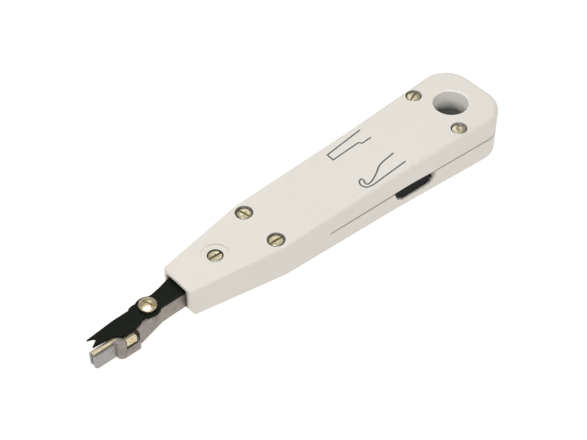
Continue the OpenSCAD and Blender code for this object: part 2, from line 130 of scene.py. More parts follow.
class Graph:
    """The node tree of one material, with a single method that adds any node."""

    def __init__(self, name: str) -> None:
        """Start an empty material.

        Args:
            name: The material's name, in plain words.
        """
        self.material = bpy.data.materials.new(name)
        self.material.use_nodes = True
        self.tree = self.material.node_tree
        self.tree.nodes.clear()

    def node(self, kind: str, settings: dict | None = None, inputs: dict | None = None,
             output: int | str = 0) -> Value:
        """Add a node.

        Args:
            kind: The node's type.
            settings: Attributes of the node, set before its sockets. A ramp's stops are "stops".
            inputs: Socket index or name to a number, colour, vector or Value.
            output: Index or name of the output to return.

        Returns:
            The chosen output.
        """
        made = self.tree.nodes.new(kind)
        for key, setting in (settings or {}).items():
            if key == "stops":
                ramp = made.color_ramp.elements
                while len(ramp) < len(setting):
                    ramp.new(0.5)
                for element, (place, colour) in zip(ramp, setting):
                    element.position = place
                    element.color = colour
            else:
                setattr(made, key, setting)
        for key, value in (inputs or {}).items():
            if isinstance(value, Value):
                self.tree.links.new(value.out, made.inputs[key])
            else:
                made.inputs[key].default_value = value
        return Value(self, made.outputs[output])

    def place(self, scale: Sequence[float] = (1.0, 1.0, 1.0)) -> Value:
        """Object coordinates, scaled along each axis."""
        coords = self.node("ShaderNodeTexCoord", output="Object")
        return self.node("ShaderNodeMapping", inputs={"Vector": coords, "Scale": tuple(scale)})

    def noise(self, per_mm: float, detail: float = 3.0, stretch: Sequence[float] = (1.0, 1.0, 1.0)) -> Value:
        """Fractal noise with about per_mm lumps a millimetre, from 0 to 1."""
        where = self.place([per_mm / MM * s for s in stretch])
        return self.node("ShaderNodeTexNoise", inputs={"Vector": where, "Scale": 1.0, "Detail": detail})

    def ramp(self, value: Value, low: float, high: float) -> Value:
        """The value stretched so that low gives 0 and high gives 1, held at both ends."""
        return self.node("ShaderNodeMapRange", inputs={0: value, 1: low, 2: high, 3: 0.0, 4: 1.0})

    def blend(self, share: Number, first: object, second: object) -> Value:
        """A colour between two colours.

        Args:
            share: 0 for the first colour, 1 for the second.
            first: Colour or Value.
            second: Colour or Value.

        Returns:
            The blended colour.
        """
        inputs = {"Factor": share, 6: rgba(first), 7: rgba(second)}
        return self.node("ShaderNodeMix", {"data_type": "RGBA"}, inputs, output=2)

    def bump(self, height: Value, depth: float, under: Value | None = None) -> Value:
        """A bumped normal.

        Args:
            height: Height pattern, from 0 to 1.
            depth: Height of the pattern in metres.
            under: A bumped normal that this one lies on.

        Returns:
            The normal.
        """
        inputs = {"Height": height, "Distance": depth, "Strength": 1.0}
        if under is not None:
            inputs["Normal"] = under
        return self.node("ShaderNodeBump", inputs=inputs)

    def surface(self, constants: dict, varying: dict) -> bpy.types.Material:
        """Finish the material with one Principled shader.

        Args:
            constants: Socket name to a value that is the same all over.
            varying: Socket name to a Value.

        Returns:
            The material.
        """
        shader = self.node("ShaderNodeBsdfPrincipled", inputs={**constants, **varying})
        end = self.tree.nodes.new("ShaderNodeOutputMaterial")
        self.tree.links.new(shader.out, end.inputs["Surface"])
        return self.material


def rgba(colour: object) -> object:
    """A colour of three numbers with an alpha of 1; anything else unchanged."""
    if isinstance(colour, tuple) and len(colour) == 3:
        return (*colour, 1.0)
    return colour


# --------------------------------------------------------------------------- finishes


@dataclass(frozen=True)
class MouldedPlastic:
    """Off-white moulded plastic with a fine spark-eroded grain and a little handling soil, plus painted light
    and shade in the hanging hole and painted shade in the screw wells.
    """

    name: str
    tint: tuple[float, float, float] = (0.715, 0.69, 0.645)
    shade: tuple[float, float, float] = (0.645, 0.615, 0.56)
    # Painted highlight colour for the hanging hole's wall.
    painted_hole_light: tuple[float, float, float] = (0.95, 0.935, 0.90)
    # Painted shade colour for the lower part of the hanging hole.
    painted_hole_shade: tuple[float, float, float] = (0.045, 0.05, 0.035)
    # Painted shade colour for the screw wells.
    well_shade_colour: tuple[float, float, float] = (0.07, 0.062, 0.035)
    grain_depth: float = 0.012 * MM
    wells: tuple[tuple[float, float, float], ...] = ()

    def build(self) -> bpy.types.Material:
        """Make the material."""
        g = Graph(self.name)
        clouds = g.ramp(g.noise(0.035, 4.0), 0.3, 0.7)
        mottle = g.ramp(g.noise(0.5, 5.0), 0.35, 0.75)
        specks = g.ramp(g.noise(1.6, 2.0), 0.70, 0.78)
        soil = (clouds * 0.45 + mottle * 0.25 + specks * 0.35).clamped()
        colour = g.blend(soil * 0.45, self.tint, self.shade)
        # The hole's wall gets a painted highlight, then painted shade that deepens towards the bottom.
        wall, hole_shade_share = self.hole_light_and_shade(g)
        colour = g.blend(hole_shade_share, g.blend(wall, colour, self.painted_hole_light), self.painted_hole_shade)
        # Painted shade inside the screw wells.
        colour = g.blend(self.well_shade_share(g) * 0.72, colour, self.well_shade_colour)
        grain = g.noise(3.2, 2.0) * 0.6 + g.noise(9.0, 1.0) * 0.4
        waviness = g.noise(0.09, 1.0)
        normal = g.bump(grain, self.grain_depth, g.bump(waviness, 0.05 * MM))
        rough = 0.40 + mottle * 0.10 + clouds * 0.06
        return g.surface({"IOR": 1.5}, {"Base Color": colour, "Roughness": rough, "Normal": normal})

    def well_shade_share(self, g: Graph) -> Value:
        """How much painted shade darkens the wells round the screw heads, each given as (x, y, radius) in
        millimetres.
        """
        x, y = (g.node("ShaderNodeSeparateXYZ", inputs={0: g.place()}, output=axis) for axis in "XY")
        share: Number = 0.0
        for well_x, well_y, radius in self.wells:
            right, up = x - well_x * MM, y - well_y * MM
            away = (right * right + up * up) ** 0.5
            share = 1.0 - g.ramp(away, radius * MM, (radius + 0.12) * MM) + share
        return share

    @staticmethod
    def hole_light_and_shade(g: Graph) -> tuple[Value, Value]:
        """Where the wall of the hanging hole is, painted bright as a highlight, and how much painted shade
        darkens it lower down.
        """
        x, y, z = (g.node("ShaderNodeSeparateXYZ", inputs={0: g.place()}, output=axis) for axis in "XYZ")
        radius = (x * x + y * y) ** 0.5
        inside = 1.0 - g.ramp(radius, 6.56 * MM, 6.9 * MM)
        depth = 1.0 - g.ramp(z + (g.noise(0.3, 2.0) - 0.5) * (2.0 * MM), 0.5 * MM, 5.0 * MM)
        return inside, inside * depth * 0.95


@dataclass(frozen=True)
class PlatedBrass:
    """Turned brass with a pale plating, finely ringed, tarnished in the low spots."""

    name: str
    bright: tuple[float, float, float] = (0.53, 0.49, 0.35)
    tarnish: tuple[float, float, float] = (0.12, 0.10, 0.045)
    roughness: float = 0.26

    def build(self) -> bpy.types.Material:
        """Make the material."""
        g = Graph(self.name)
        dull = g.ramp(g.noise(0.9, 5.0), 0.42, 0.72)
        scratches = g.ramp(g.noise(2.2, 3.0, (1.0, 9.0, 1.0)), 0.45, 0.8)
        colour = g.blend(dull * 0.35 + scratches * 0.12, self.bright, self.tarnish)
        rough = self.roughness + dull * 0.16 + scratches * 0.08
        normal = g.bump(scratches, 0.006 * MM)
        return g.surface({"Metallic": 1.0}, {"Base Color": colour, "Roughness": rough, "Normal": normal})


@dataclass(frozen=True)
class CastZinc:
    """Tumbled zinc casting: satin grey with a soft orange-peel surface."""

    name: str
    light: tuple[float, float, float] = (0.33, 0.30, 0.275)
    dark: tuple[float, float, float] = (0.18, 0.16, 0.145)

    def build(self) -> bpy.types.Material:
        """Make the material."""
        g = Graph(self.name)
        clouds = g.ramp(g.noise(0.35, 4.0), 0.35, 0.7)
        pits = g.ramp(g.noise(2.6, 4.0), 0.6, 0.78)
        colour = g.blend(clouds * 0.45 + pits * 0.4, self.light, self.dark)
        peel = g.noise(1.3, 3.0) * 0.7 + pits * -0.5
        normal = g.bump(peel, 0.03 * MM)
        rough = 0.42 + clouds * 0.14
        return g.surface({"Metallic": 0.75}, {"Base Color": colour, "Roughness": rough, "Normal": normal})


@dataclass(frozen=True)
class RolledSteel:
    """Rolled or ground steel with lengthwise brush marks, either bright or blackened."""

    name: str
    base: tuple[float, float, float] = (0.56, 0.56, 0.55)
    worn: tuple[float, float, float] = (0.70, 0.70, 0.68)
    metallic: float = 1.0
    roughness: float = 0.30
    brush: tuple[float, float, float] = (0.08, 1.0, 1.0)
    sheen: float = 0.5

    def build(self) -> bpy.types.Material:
        """Make the material."""
        g = Graph(self.name)
        brushed = g.noise(5.0, 3.0, self.brush)
        patches = g.ramp(g.noise(0.45, 4.0), 0.4, 0.72)
        colour = g.blend(patches * 0.5 + brushed * 0.2, self.base, self.worn)
        rough = self.roughness + brushed * 0.12 + patches * 0.06
        normal = g.bump(brushed, 0.006 * MM)
        fixed = {"Metallic": self.metallic, "Specular IOR Level": self.sheen}
        return g.surface(fixed, {"Base Color": colour, "Roughness": rough, "Normal": normal})


@dataclass(frozen=True)
class PadPrint:
    """Dark pad-printing ink, thin enough for the plastic's grain to show in it."""

    name: str
    ink: tuple[float, float, float] = (0.085, 0.085, 0.085)
    thin: tuple[float, float, float] = (0.17, 0.168, 0.16)

    def build(self) -> bpy.types.Material:
        """Make the material."""
        g = Graph(self.name)
        wear = g.ramp(g.noise(2.5, 4.0), 0.45, 0.8)
        colour = g.blend(wear * 0.6, self.ink, self.thin)
        return g.surface({}, {"Base Color": colour, "Roughness": 0.48 + wear * 0.12})


# --------------------------------------------------------------------------- mesh tools


class Body(Enum):
    """The rigid bodies that pieces ride on."""

    HANDLE = "handle"
    HEAD = "head"
    SCISSORS = "scissors"
    SENSOR = "sensor"
    HOOK = "hook"
    SPUDGER = "spudger"


class Half(Enum):
    """The two halves of the grip, by the side of the parting plane that they are on."""

    UPPER = 1
    LOWER = -1


@dataclass(frozen=True)
class Bend:
    """Where a springy piece would bend across a joint, towards the second body, from start to end."""

    towards: Body
    start: Vector
    end: Vector


@dataclass(frozen=True)
class Seat:
    """Where a piece belongs: its body, its material slot and the CAD nodes it stands for."""

    body: Body
    slot: str
    nodes: tuple[str, ...] = ()
    bend: Bend | None = None


def box_mm(node: str) -> tuple[Vector, Vector]:
    """Lowest and highest corner of a CAD node at rest, in millimetres."""
    low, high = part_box(node)
    return low / MM, high / MM


def copied(node: str) -> bmesh.types.BMesh:
    """A merged copy of a CAD node in millimetres, with its flat faces joined."""
    bm = bmesh.new()
    bm.from_mesh(frame["nodes"][node].data)
    bmesh.ops.scale(bm, vec=(1 / MM,) * 3, verts=bm.verts)
    bmesh.ops.remove_doubles(bm, verts=bm.verts, dist=0.0005)
    bmesh.ops.dissolve_degenerate(bm, dist=0.0002, edges=bm.edges)
    bmesh.ops.dissolve_limit(bm, angle_limit=math.radians(0.5), verts=bm.verts, edges=bm.edges)
    return bm


def corners(bm: bmesh.types.BMesh, least: float, wanted: Callable[[bmesh.types.BMEdge], bool]) -> list:
    """Edges whose faces meet at more than a given angle.

    Args:
        bm: The mesh.
        least: The smallest angle, in degrees.
        wanted: A further test of each edge.

    Returns:
        The edges that pass.
    """
    bm.normal_update()
    limit = math.radians(least)
    return [e for e in bm.edges if len(e.link_faces) == 2 and e.calc_face_angle(0.0) > limit and wanted(e)]


def soften(bm: bmesh.types.BMesh, edges: list, width: float, segments: int = 2) -> None:
    """Round the given edges."""
    if edges:
        bmesh.ops.bevel(
            bm, geom=edges, offset=width, offset_type="OFFSET", affect="EDGES", segments=segments,
            profile=0.5, material=-1, clamp_overlap=True,
        )


def turned(profile: Iterable[Sequence[float]], steps: int = 48) -> bmesh.types.BMesh:
    """A solid of revolution about Z.

    Args:
        profile: (radius, height) pairs from the axis at the top to the axis at the bottom.
        steps: Sides of the turning.

    Returns:
        The closed mesh, in millimetres.
    """
    bm = bmesh.new()
    line = [bm.verts.new((r, 0.0, z)) for r, z in profile]
    edges = [bm.edges.new(pair) for pair in zip(line, line[1:])]
    bmesh.ops.spin(
        bm, geom=line + edges, cent=(0, 0, 0), axis=(0, 0, 1), angle=2 * math.pi, steps=steps, use_merge=True,
    )
    bmesh.ops.remove_doubles(bm, verts=bm.verts, dist=0.0005)
    bmesh.ops.recalc_face_normals(bm, faces=bm.faces)
    return bm


def lift(bm: bmesh.types.BMesh, faces: list, rise: float) -> None:
    """Give flat faces a thickness along Z and turn the solid's faces outwards."""
    risen = bmesh.ops.extrude_face_region(bm, geom=faces)
    moved = [v for v in risen["geom"] if isinstance(v, bmesh.types.BMVert)]
    bmesh.ops.translate(bm, vec=(0, 0, rise), verts=moved)
    bmesh.ops.recalc_face_normals(bm, faces=bm.faces)


def slice_across(bm: bmesh.types.BMesh, place: Sequence[float], across: Sequence[float]) -> None:
    """Add edges where a plane crosses the mesh."""
    everything = [*bm.verts, *bm.edges, *bm.faces]
    bmesh.ops.bisect_plane(bm, geom=everything, dist=1e-4, plane_co=place, plane_no=across)


def prism(outline: Sequence[Sequence[float]], z0: float, z1: float) -> bmesh.types.BMesh:
    """A straight solid standing on an outline in XY."""
    bm = bmesh.new()
    lift(bm, [bm.faces.new([bm.verts.new((x, y, z0)) for x, y in outline])], z1 - z0)
    return bm


def grown(bm: bmesh.types.BMesh, face: bmesh.types.BMFace) -> bmesh.types.BMFace:
    """Extrude the end face of a solid and return the new end face, still in place."""
    lone = all(e.is_boundary for e in face.edges)
    risen = bmesh.ops.extrude_face_region(bm, geom=[face])
    if not lone:
        bmesh.ops.delete(bm, geom=[face], context="FACES_ONLY")
    return next(g for g in risen["geom"] if isinstance(g, bmesh.types.BMFace))


def brick(low: Sequence[float], high: Sequence[float]) -> bmesh.types.BMesh:
    """A rectangular solid between two corners."""
    (x0, y0, z0), (x1, y1, z1) = low, high
    return prism([(x0, y0), (x1, y0), (x1, y1), (x0, y1)], z0, z1)


def as_object(name: str, bm: bmesh.types.BMesh) -> bpy.types.Object:
    """A linked object made from a bmesh, which is freed."""
    mesh = bpy.data.meshes.new(name)
    bm.to_mesh(mesh)
    bm.free()
    made = bpy.data.objects.new(name, mesh)
    bpy.context.scene.collection.objects.link(made)
    return made


def combined(first: bmesh.types.BMesh, second: bmesh.types.BMesh, operation: str) -> bmesh.types.BMesh:
    """One solid cut by, met with or joined to another.

    Args:
        first: The solid that is worked on.
        second: The tool.
        operation: DIFFERENCE, INTERSECT or UNION.

    Returns:
        The result. Both inputs are freed.
    """
    work, tool = as_object("work", first), as_object("tool", second)
    modifier = work.modifiers.new("cut", "BOOLEAN")
    modifier.operation, modifier.solver, modifier.object = operation, "EXACT", tool
    evaluated = work.evaluated_get(bpy.context.evaluated_depsgraph_get())
    bm = bmesh.new()
    bm.from_mesh(evaluated.to_mesh())
    evaluated.to_mesh_clear()
    for made in (work, tool):
        mesh = made.data
        bpy.data.objects.remove(made)
        bpy.data.meshes.remove(mesh)
    bmesh.ops.remove_doubles(bm, verts=bm.verts, dist=0.0005)
    bmesh.ops.dissolve_degenerate(bm, dist=0.0005, edges=bm.edges)
    return bm


def slotted(bm: bmesh.types.BMesh, half_length: float, width: float, floor: float, top: float,
            lip: float) -> bmesh.types.BMesh:
    """A screw with a slot along X cut across its head.

    Args:
        bm: The screw, standing on the Z axis. It is freed.
        half_length: Half the length of the cutter.
        width: Width of the slot.
        floor: Height of the slot's floor.
        top: Height of the head's top.
        lip: Rounding of the slot's two upper edges.

    Returns:
        The slotted screw.
    """
    half = width / 2
    bm = combined(bm, brick((-half_length, -half, floor), (half_length, half, top + 1)), "DIFFERENCE")

    def on_lip(edge: bmesh.types.BMEdge) -> bool:
        """Whether an edge runs along the top of the slot."""
        return all(v.co.z > floor + 0.01 and abs(abs(v.co.y) - half) < 0.01 for v in edge.verts)

    soften(bm, corners(bm, 50, on_lip), lip, 2)
    return bm


def piece(name: str, bm: bmesh.types.BMesh, finish: bpy.types.Material, seat: Seat,
          crease: float = 32.0) -> bpy.types.Object:
    """Finish a piece: scale it to metres, shade it, dress it and seat it in the frame.

    Args:
        name: The piece's name.
        bm: Its mesh in millimetres, freed here.
        finish: Its material.
        seat: Where it belongs.
        crease: Angle in degrees above which an edge stays sharp.

    Returns:
        The object.
    """
    bmesh.ops.scale(bm, vec=(MM,) * 3, verts=bm.verts)
    for face in bm.faces:
        face.smooth = True
        face.material_index = 0
    made = as_object(name, bm)
    made.data.set_sharp_from_angle(angle=math.radians(crease))
    made.data.materials.clear()
    made.data.materials.append(finish)
    weighted = made.modifiers.new("even_shading", "WEIGHTED_NORMAL")
    weighted.keep_sharp = True
    if seat.bend is None:
        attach(made, seat.body.value)
    else:
        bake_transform(made)
    if seat.nodes:
        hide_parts(*seat.nodes)
    log.info("%s: %d faces on %s", name, len(made.data.polygons), seat.body.value)
    return made


def dress(node: str, finish: bpy.types.Material) -> None:
    """Give a CAD node that keeps its shape a finish of its own."""
    made = frame["nodes"][node]
    for slot in made.material_slots:
        slot.material = finish
    log.info("%s keeps its shape", node)


def rounded_corner(before: Vector, corner: Vector, after: Vector, radius: float, steps: int) -> list[Vector]:
    """Points of the arc that rounds one corner of an outline.

    Args:
        before: The outline's previous corner.
        corner: The corner to round.
        after: The outline's next corner.
        radius: Radius of the arc.
        steps: Number of chords along it.

    Returns:
        The arc's points, in the outline's order.
    """
    back, ahead = (before - corner).normalized(), (after - corner).normalized()
    half = back.angle(ahead) / 2
    centre = corner + (back + ahead).normalized() * radius / math.sin(half)
    spoke = corner + back * radius / math.tan(half) - centre
    left = back.x * ahead.y - back.y * ahead.x < 0
    turn = (math.pi - 2 * half) * (1 if left else -1)
    return [centre + Matrix.Rotation(turn * i / steps, 2) @ spoke for i in range(steps + 1)]


def inward_steps(outline: Sequence[Vector]) -> list[Vector]:
    """For each point of an anticlockwise outline, the move that draws both its edges in by one."""
    moves = []
    for i, point in enumerate(outline):
        back = (point - outline[i - 1]).normalized()
        ahead = (outline[(i + 1) % len(outline)] - point).normalized()
        first, second = Vector((-back.y, back.x)), Vector((-ahead.y, ahead.x))
        moves.append((first + second) / (1 + first.dot(second)))
    return moves


def smooth_share(value: float) -> float:
    """A share from 0 to 1 that starts and ends gently."""
    held = min(max(value, 0.0), 1.0)
    return held * held * (3 - 2 * held)


def smooth_line(points: Sequence[Sequence[float]], steps: int = 6) -> list[Vector]:
    """A smooth line through the given points of a plane."""
    knots = [Vector(p) for p in points]
    knots = [2 * knots[0] - knots[1], *knots, 2 * knots[-1] - knots[-2]]
    line = []
    for a, b, c, d in zip(knots, knots[1:], knots[2:], knots[3:]):
        for i in range(steps):
            t = i / steps
            line.append(0.5 * (2 * b + (c - a) * t + (2 * a - 5 * b + 4 * c - d) * t**2
                               + (3 * b - a - 3 * c + d) * t**3))
    return [*line, knots[-2]]


def ribbon(line: Sequence[Vector], width: float, height: Callable[[float], float], thickness: float,
           closed: bool = False) -> bmesh.types.BMesh:
    """A thin printed stroke along a line.

    Args:
        line: Points of the stroke's middle.
        width: Width of the stroke.
        height: Height of the surface under it at a given x.
        thickness: Thickness of the ink.
        closed: Whether the line ends where it starts.

    Returns:
        The stroke's mesh.
    """
    bm = bmesh.new()
    count = len(line)
    sides = []
    for i, point in enumerate(line):
        last = line[i - 1] if i or closed else None
        following = line[(i + 1) % count] if i + 1 < count or closed else None
        back = (point - last).normalized() if last is not None else None
        ahead = (following - point).normalized() if following is not None else back
        back = back if back is not None else ahead
        along = (back + ahead).normalized()
        reach = width / 2 / max(0.35, along.dot(ahead))
        side = Vector((-along.y, along.x)) * reach
        sides.append([bm.verts.new((*(point + side * s), height(point.x))) for s in (1, -1)])
    pairs = list(zip(sides, sides[1:] + sides[:1])) if closed else list(zip(sides, sides[1:]))
    faces = [bm.faces.new((a[0], a[1], b[1], b[0])) for a, b in pairs]
    lift(bm, faces, thickness)
    return bm


def merged(parts: Iterable[bmesh.types.BMesh]) -> bmesh.types.BMesh:
    """Several meshes as one. The inputs are freed."""
    whole = bmesh.new()
    for part in parts:
        mesh = bpy.data.meshes.new("part")
        part.to_mesh(mesh)
        part.free()
        whole.from_mesh(mesh)
        bpy.data.meshes.remove(mesh)
    return whole


# --------------------------------------------------------------------------- the grip


@dataclass
class Casing:
    """The grip: two moulded shells that meet on the parting plane, with the tool outlines printed on top."""

    plastic: bpy.types.Material
    ink: bpy.types.Material
    nose_corner_y: float = 7.224
    nose_r: float = 1.5
    nose_half_t: float = 6.3
    kink: tuple[float, float] = (-90.5, 13.1)
    kink_r: float = 10.0
    flare: tuple[float, float] = (-38.0, 14.35)
    flare_r: float = 200.0
    tail_corner_y: float = 16.837
    tail_r: float = 10.8
    skin: float = 0.02
    slot_rim: float = 0.16
    seam_rim: float = 0.03
    slot_front_x: float = -70.5
    slot_half: float = 0.3
    edge_steps: int = 7
    edge_r: dict = field(default_factory=lambda: {Half.UPPER: (0.55, 2.0), Half.LOWER: (1.3, 1.7)})
    lower_nose_r: float = 4.4
    scoop_x: float = -33.4
    scoop_half: float = 9.0
    scoop_height: float = 6.0
    scoop_depth: float = 0.2
    recess: tuple = (
        (-41.0, 0.0), (-39.7, -3.4), (-37.1, -4.95), (-25.0, -4.95), (-22.9, -4.1), (-21.9, -1.9), (-21.9, 0.0),
    )
    ink_width: float = 0.58

    def __post_init__(self) -> None:
        """Read the ends and the tail's thickness from the frame."""
        low, high = box_mm("upper_casing")
        self.nose_x, self.tail_x, self.tail_half_t = low.x, high.x, high.z

    def top(self, x: float) -> float:
        """Half the thickness of the wedge at x."""
        return self.nose_half_t + (x - self.nose_x) * self.slope

    @property
    def slope(self) -> float:
        """Rise of the top face for each millimetre of length."""
        return (self.tail_half_t - self.nose_half_t) / (self.tail_x - self.nose_x)

    def outline(self) -> list[Vector]:
        """The grip's outline from above, anticlockwise from the tail's near corner."""
        corners_right = [
            (Vector((self.tail_x, self.tail_corner_y)), self.tail_r, 18),
            (Vector(self.flare), self.flare_r, 4),
            (Vector(self.kink), self.kink_r, 6),
            (Vector((self.nose_x, self.nose_corner_y)), self.nose_r, 8),
        ]
        flip = Vector((1, -1))
        all_corners = corners_right + [(c * flip, r, n) for c, r, n in reversed(corners_right)]
        points: list[Vector] = []
        for i, (corner, radius, steps) in enumerate(all_corners):
            before = all_corners[i - 1][0]
            after = all_corners[(i + 1) % len(all_corners)][0]
            points += rounded_corner(before, corner, after, radius, steps)
        return self.with_slot_ends(points)

    def with_slot_ends(self, points: list[Vector]) -> list[Vector]:
        """The outline with extra points where the tool slots begin."""
        full: list[Vector] = []
        for i, point in enumerate(points):
            following = points[(i + 1) % len(points)]
            full.append(point)
            ends = (self.slot_front_x - 0.4, self.slot_front_x)
            crossings = [x for x in ends if (point.x - x) * (following.x - x) < 0]
            if following.x < point.x:
                crossings.reverse()
            for x in crossings:
                full.append(point.lerp(following, (x - point.x) / (following.x - point.x)))
        return full

    def gap(self, x: float) -> float:
        """Height of the shell's rim over the parting plane: half the slot where the tools lie, else none."""
        return self.slot_half if x > self.slot_front_x - 0.2 else 0.0

    def rim(self, x: float) -> float:
        """Width of the chamfer along the shell's rim: wide beside the tool slots, hardly there at the seam."""
        return self.slot_rim if x > self.slot_front_x - 0.2 else self.seam_rim

    def rings(self, half: Half) -> list[tuple[Callable[[float], float], Callable[[float], float]]]:
        """The body's levels from the parting plane outwards, as (inset, height) at a given x."""
        thin, thick = self.edge_r[half]
        length = self.tail_x - self.nose_x

        def radius(x: float) -> float:
            """Radius of the outer edge at x."""
            return thin + (thick - thin) * smooth_share((x - self.nose_x) / length)

        levels = [
            (lambda x: self.skin + self.rim(x), lambda x: -1.0),
            (lambda x: self.skin + self.rim(x), self.gap),
            (lambda x: self.skin, lambda x: self.gap(x) + self.rim(x)),
        ]
        for i in range(self.edge_steps + 1):
            turn = math.pi / 2 * i / self.edge_steps
            levels.append((
                lambda x, c=1 - math.cos(turn): self.skin + radius(x) * c,
                lambda x, s=1 - math.sin(turn): self.top(x) - self.skin - radius(x) * s,
            ))
        return levels

    def body(self, half: Half) -> bmesh.types.BMesh:
        """The outer form of one shell as a solid that reaches a little past the parting plane."""
        outline = self.outline()
        moves = inward_steps(outline)
        bm = bmesh.new()
        face = bm.faces.new([bm.verts.new((*point, 0.0)) for point in outline])
        order = {v.co.to_tuple(5): i for i, v in enumerate(face.verts)}
        for level, (inset, height) in enumerate(self.rings(half)):
            if level:
                face = grown(bm, face)
            places = {}
            for vert in face.verts:
                i = order[vert.co.to_tuple(5)]
                point = outline[i] + moves[i] * inset(outline[i].x)
                vert.co = (*point, half.value * height(point.x))
                places[vert.co.to_tuple(5)] = i
            order = places
        bmesh.ops.recalc_face_normals(bm, faces=bm.faces)
        return bm

    def scoop(self, bm: bmesh.types.BMesh) -> None:
        """Press a shallow thumb scoop into both sides of the upper shell, above the finger openings."""
        across = [self.scoop_x + self.scoop_half * (i / 12 - 1) for i in range(25)]
        up = [self.scoop_height * i / 12 for i in range(1, 13)]
        for x in across:
            slice_across(bm, (x, 0, 0), (1, 0, 0))
        for z in up:
            slice_across(bm, (0, 0, z), (0, 0, 1))
        for vert in bm.verts:
            along = abs(vert.co.x - self.scoop_x) / self.scoop_half
            rise = max(vert.co.z, 0.0) / self.scoop_height
            if along < 1 and rise < 1 and abs(vert.co.y) > 10:
                depth = self.scoop_depth * (1 - along**2) ** 1.5 * (1 - rise) ** 2
                vert.co.y -= math.copysign(depth, vert.co.y)

    def hole_rim(self, x: float, y: float, radius: float, depth: float) -> bmesh.types.BMesh:
        """A cutter that softens the rim of a round hole in the upper face."""
        wide = radius + depth
        bm = turned([(0, 1), (wide + 0.3, 1), (wide, 0.0), (radius + depth * 0.3, -depth * 0.35),
                     (radius, -depth), (0, -depth)], 64)
        tilt = Matrix.Rotation(-math.atan(self.slope), 4, "Y")
        bm.transform(Matrix.Translation((x, y, self.top(x) - self.skin)) @ tilt)
        return bm

    def round_nose(self, bm: bmesh.types.BMesh) -> None:
        """Round the lower shell's front corner with a fan of cuts."""
        radius = self.lower_nose_r
        centre = Vector((self.nose_x + radius, 0, -self.top(self.nose_x) + radius))
        for i in range(1, 9):
            turn = math.pi / 2 * (i - 0.5) / 8
            out = Vector((-math.cos(turn), 0, -math.sin(turn)))
            everything = [*bm.verts, *bm.edges, *bm.faces]
            edge = centre + out * (radius - self.skin)
            cut = bmesh.ops.bisect_plane(
                bm, geom=everything, dist=1e-4, plane_co=edge, plane_no=out, clear_outer=True,
            )
            rim = [g for g in cut["geom_cut"] if isinstance(g, bmesh.types.BMEdge)]
            bmesh.ops.holes_fill(bm, edges=rim)

    def recess_flare(self, side: int) -> bmesh.types.BMesh:
        """A cutter that softens the rim of a finger opening in the lower shell."""
        bm = bmesh.new()
        middle_x = (self.recess[0][0] + self.recess[-1][0]) / 2
        outline = [*self.recess, (self.recess[-1][0], 1.0), (self.recess[0][0], 1.0)]
        face = bm.faces.new([bm.verts.new((x, 0, z)) for x, z in outline])
        for y, grow in ((13.4, 1.0), (14.2, 1.0), (14.6, 1.01), (15.0, 1.03), (17.5, 1.1)):
            if y > 13.4:
                face = grown(bm, face)
            for vert, (x, z) in zip(face.verts, outline):
                vert.co = (middle_x + (x - middle_x) * grow, side * y, z * grow)
        bmesh.ops.recalc_face_normals(bm, faces=bm.faces)
        return bm

    def cutters(self, half: Half) -> list[bmesh.types.BMesh]:
        """The cutters that soften the rims of one shell's openings."""
        if half is Half.LOWER:
            return [self.recess_flare(side) for side in (-1, 1)]
        rims = [self.hole_rim(0, 0, 6.5, 0.55)]
        for node, radius in (("grip_screws", 3.15), ("tail_screws", 2.95)):
            low, high = box_mm(node)
            for y in (low.y + 2.5, high.y - 2.5):
                rims.append(self.hole_rim((low.x + high.x) / 2, y, radius, 0.14))
        return rims

    def shell(self, half: Half) -> bpy.types.Object:
        """Build one shell."""
        node = f"{half.name.lower()}_casing"
        body = self.body(half)
        if half is Half.UPPER:
            self.scoop(body)
        else:
            self.round_nose(body)
        bmesh.ops.triangulate(body, faces=[f for f in body.faces if len(f.verts) > 4])
        for cutter in self.cutters(half):
            body = combined(body, cutter, "DIFFERENCE")
        shell = combined(body, copied(node), "INTERSECT")
        seat = Seat(Body.HANDLE, f"casing_{half.name.lower()}", (node,))
        return piece(f"{half.name.lower()}_shell", shell, self.plastic, seat)

    def prints(self) -> bpy.types.Object:
        """The printed outlines of the spudger and the hook."""
        spudger = [Vector(p) for p in (
            (-33.8, 6.1), (-38.2, 6.0), (-39.1, 7.1), (-51.4, 6.7), (-51.3, 9.9), (-34.2, 11.5),
        )]
        hook_top = smooth_line([
            (-33.5, -5), (-40.7, -6), (-45.1, -8.4), (-48.5, -9.9), (-50.6, -10.1), (-50.9, -8.9),
            (-50.4, -8.0), (-50.6, -6.7), (-52.2, -7.6), (-52.6, -9.4), (-51.6, -11.1), (-49.2, -11.6),
        ])
        hook_low = [Vector(p) for p in ((-49.2, -11.6), (-42, -11.2), (-33.2, -10.8))]
        strokes = [
            ribbon(line, self.ink_width, lambda x: self.top(x) - self.skin - 0.01, 0.03)
            for line in (spudger, hook_top + hook_low[1:])
        ]
        return piece("printed_outlines", merged(strokes), self.ink, Seat(Body.HANDLE, "print_ink"))

    def build(self) -> None:
        """Build both shells and the print."""
        for half in Half:
            self.shell(half)
        self.prints()


